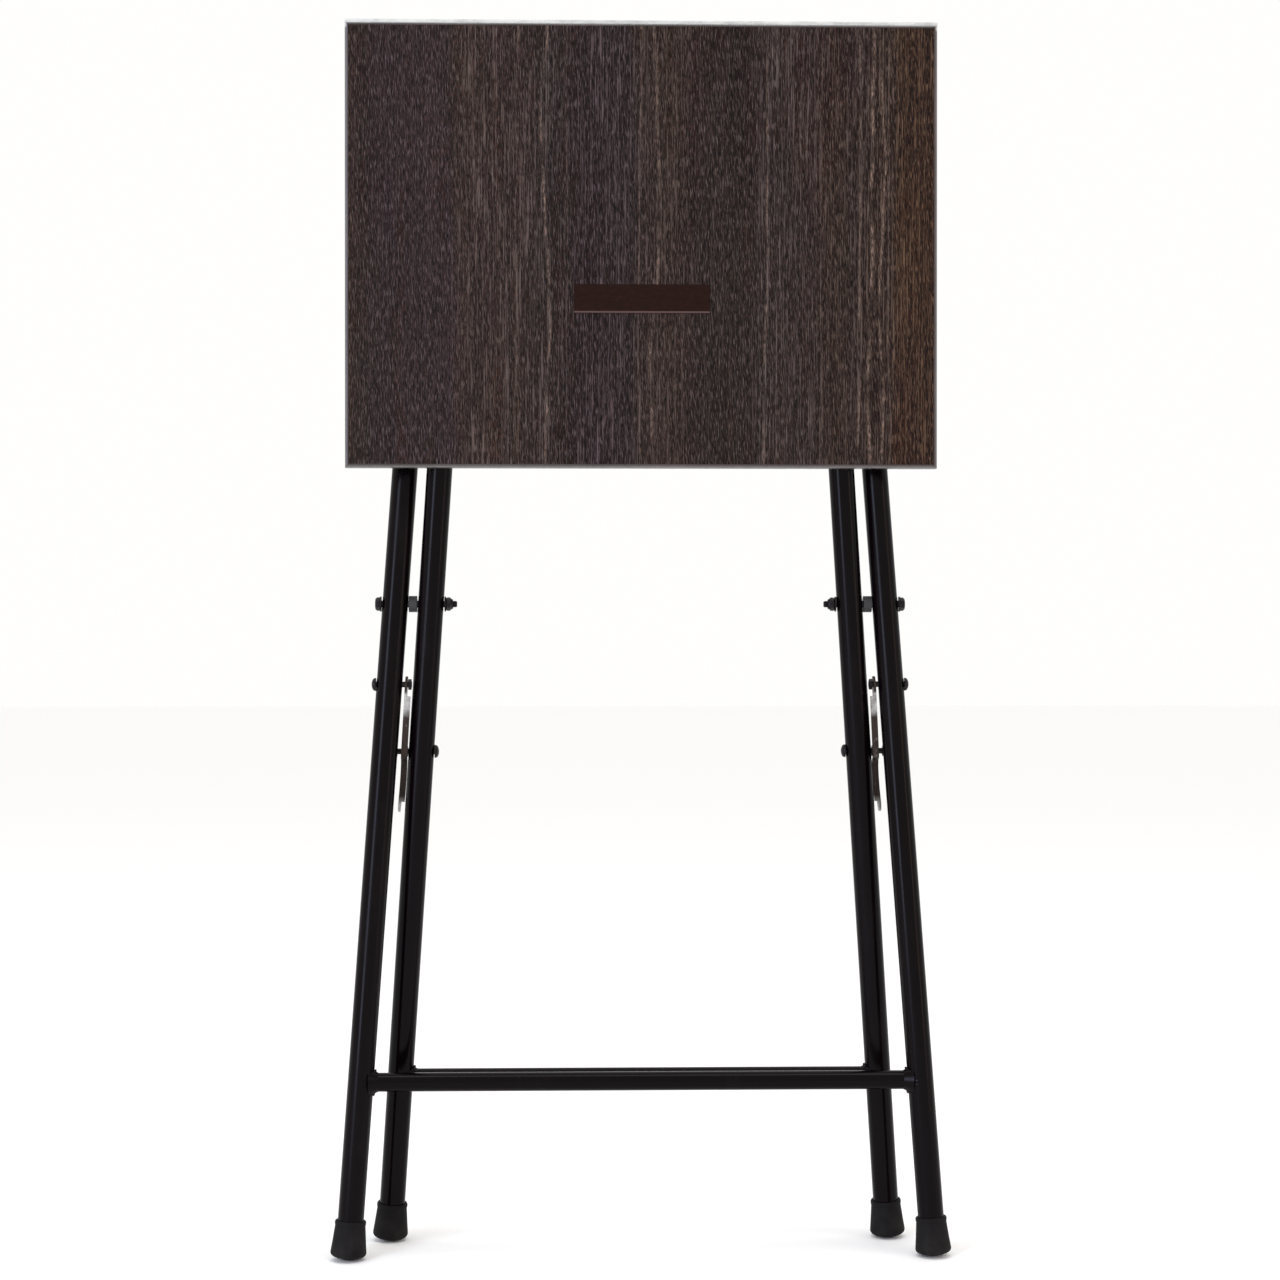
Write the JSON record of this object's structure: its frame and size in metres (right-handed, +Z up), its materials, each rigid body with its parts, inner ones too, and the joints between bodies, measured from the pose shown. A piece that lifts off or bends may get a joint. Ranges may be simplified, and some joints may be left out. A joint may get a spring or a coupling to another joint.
{
  "type": "folding tray table",
  "caption": "Folding tray table with a rectangular dark wood-grain top hinged on two crossed tubular frames, stored folded with the top upright.",
  "frame": {"origin": "on the floor plane, at the centre of the folded table's footprint, below the pivot bolts' common axis", "axes": "+Z up, +X towards the right-hand legs, the folded board's working face looks towards -Y"},
  "size_m": [0.5262, 0.0974, 1.0436],
  "materials": {
    "laminate": "satin",
    "edging": "satin",
    "label": "satin",
    "steel": "satin",
    "black_steel": "satin",
    "stay_steel": "satin",
    "nylon": "matte",
    "catch_plastic": "matte",
    "black_paint": "gloss",
    "rubber": "matte"
  },
  "bodies": {
    "pivots": {"pivot_bolt_left": "black_steel", "pivot_bolt_right": "black_steel", "pivot_nut_left": "black_steel", "pivot_nut_right": "black_steel", "pivot_spacer_left": "catch_plastic", "pivot_spacer_right": "catch_plastic", "pivot_washers": "black_steel"},
    "outer_frame": {"outer_tube": "black_paint", "outer_crossbar": "black_paint", "outer_foot_left": "rubber", "outer_foot_right": "rubber", "stay_bolt_left": "black_steel", "stay_bolt_right": "black_steel", "stay_nuts": "black_steel"},
    "inner_frame": {"inner_tube": "black_paint", "inner_crossbar": "black_paint", "inner_foot_left": "rubber", "inner_foot_right": "rubber", "guide_bolt_left": "black_steel", "guide_bolt_right": "black_steel", "guide_nuts": "black_steel"},
    "tabletop": {"board": "laminate", "edge_band_top": "edging", "edge_band_bottom": "edging", "edge_band_left": "edging", "edge_band_right": "edging", "label_plate": "label", "strap_left": "steel", "strap_right": "steel", "strap_liner_left": "nylon", "strap_liner_right": "nylon", "strap_screws": "steel", "catch_left": "catch_plastic", "catch_right": "catch_plastic", "catch_screws": "steel", "buffer_left": "rubber", "buffer_right": "rubber"},
    "left_stay": {"stay_left": "stay_steel"},
    "right_stay": {"stay_right": "stay_steel"}
  },
  "joints": [
    {"name": "leg_fold", "type": "hinge", "parent": "pivots", "child": "outer_frame", "pos_m": [0, 0, 0.554], "axis": [-1, 0, 0], "range_deg": [0, 24.8]},
    {"name": "inner_fold", "type": "hinge", "parent": "pivots", "child": "inner_frame", "pos_m": [0, 0, 0.554], "axis": [1, 0, 0], "range_deg": [0, 24.8]},
    {"name": "top_swing", "type": "hinge", "parent": "inner_frame", "child": "tabletop", "pos_m": [0, -0.01264, 0.76061], "axis": [-1, 0, 0], "range_deg": [0, 114.81]},
    {"name": "left_stay_swing", "type": "hinge", "parent": "outer_frame", "child": "left_stay", "pos_m": [-0.20073, -0.00421, 0.48513], "axis": [1, 0, 0], "range_deg": [0, 74.35]},
    {"name": "right_stay_swing", "type": "hinge", "parent": "outer_frame", "child": "right_stay", "pos_m": [0.20073, -0.00421, 0.48513], "axis": [1, 0, 0], "range_deg": [0, 74.35]}
  ],
  "couplings": [
    {"joint": "inner_fold", "follows": "leg_fold", "ratio": 1},
    {"joint": "top_swing", "follows": "leg_fold", "ratio": 4.629},
    {"joint": "left_stay_swing", "follows": "leg_fold", "ratio": 2.9972},
    {"joint": "right_stay_swing", "follows": "leg_fold", "ratio": 2.9972}
  ]
}
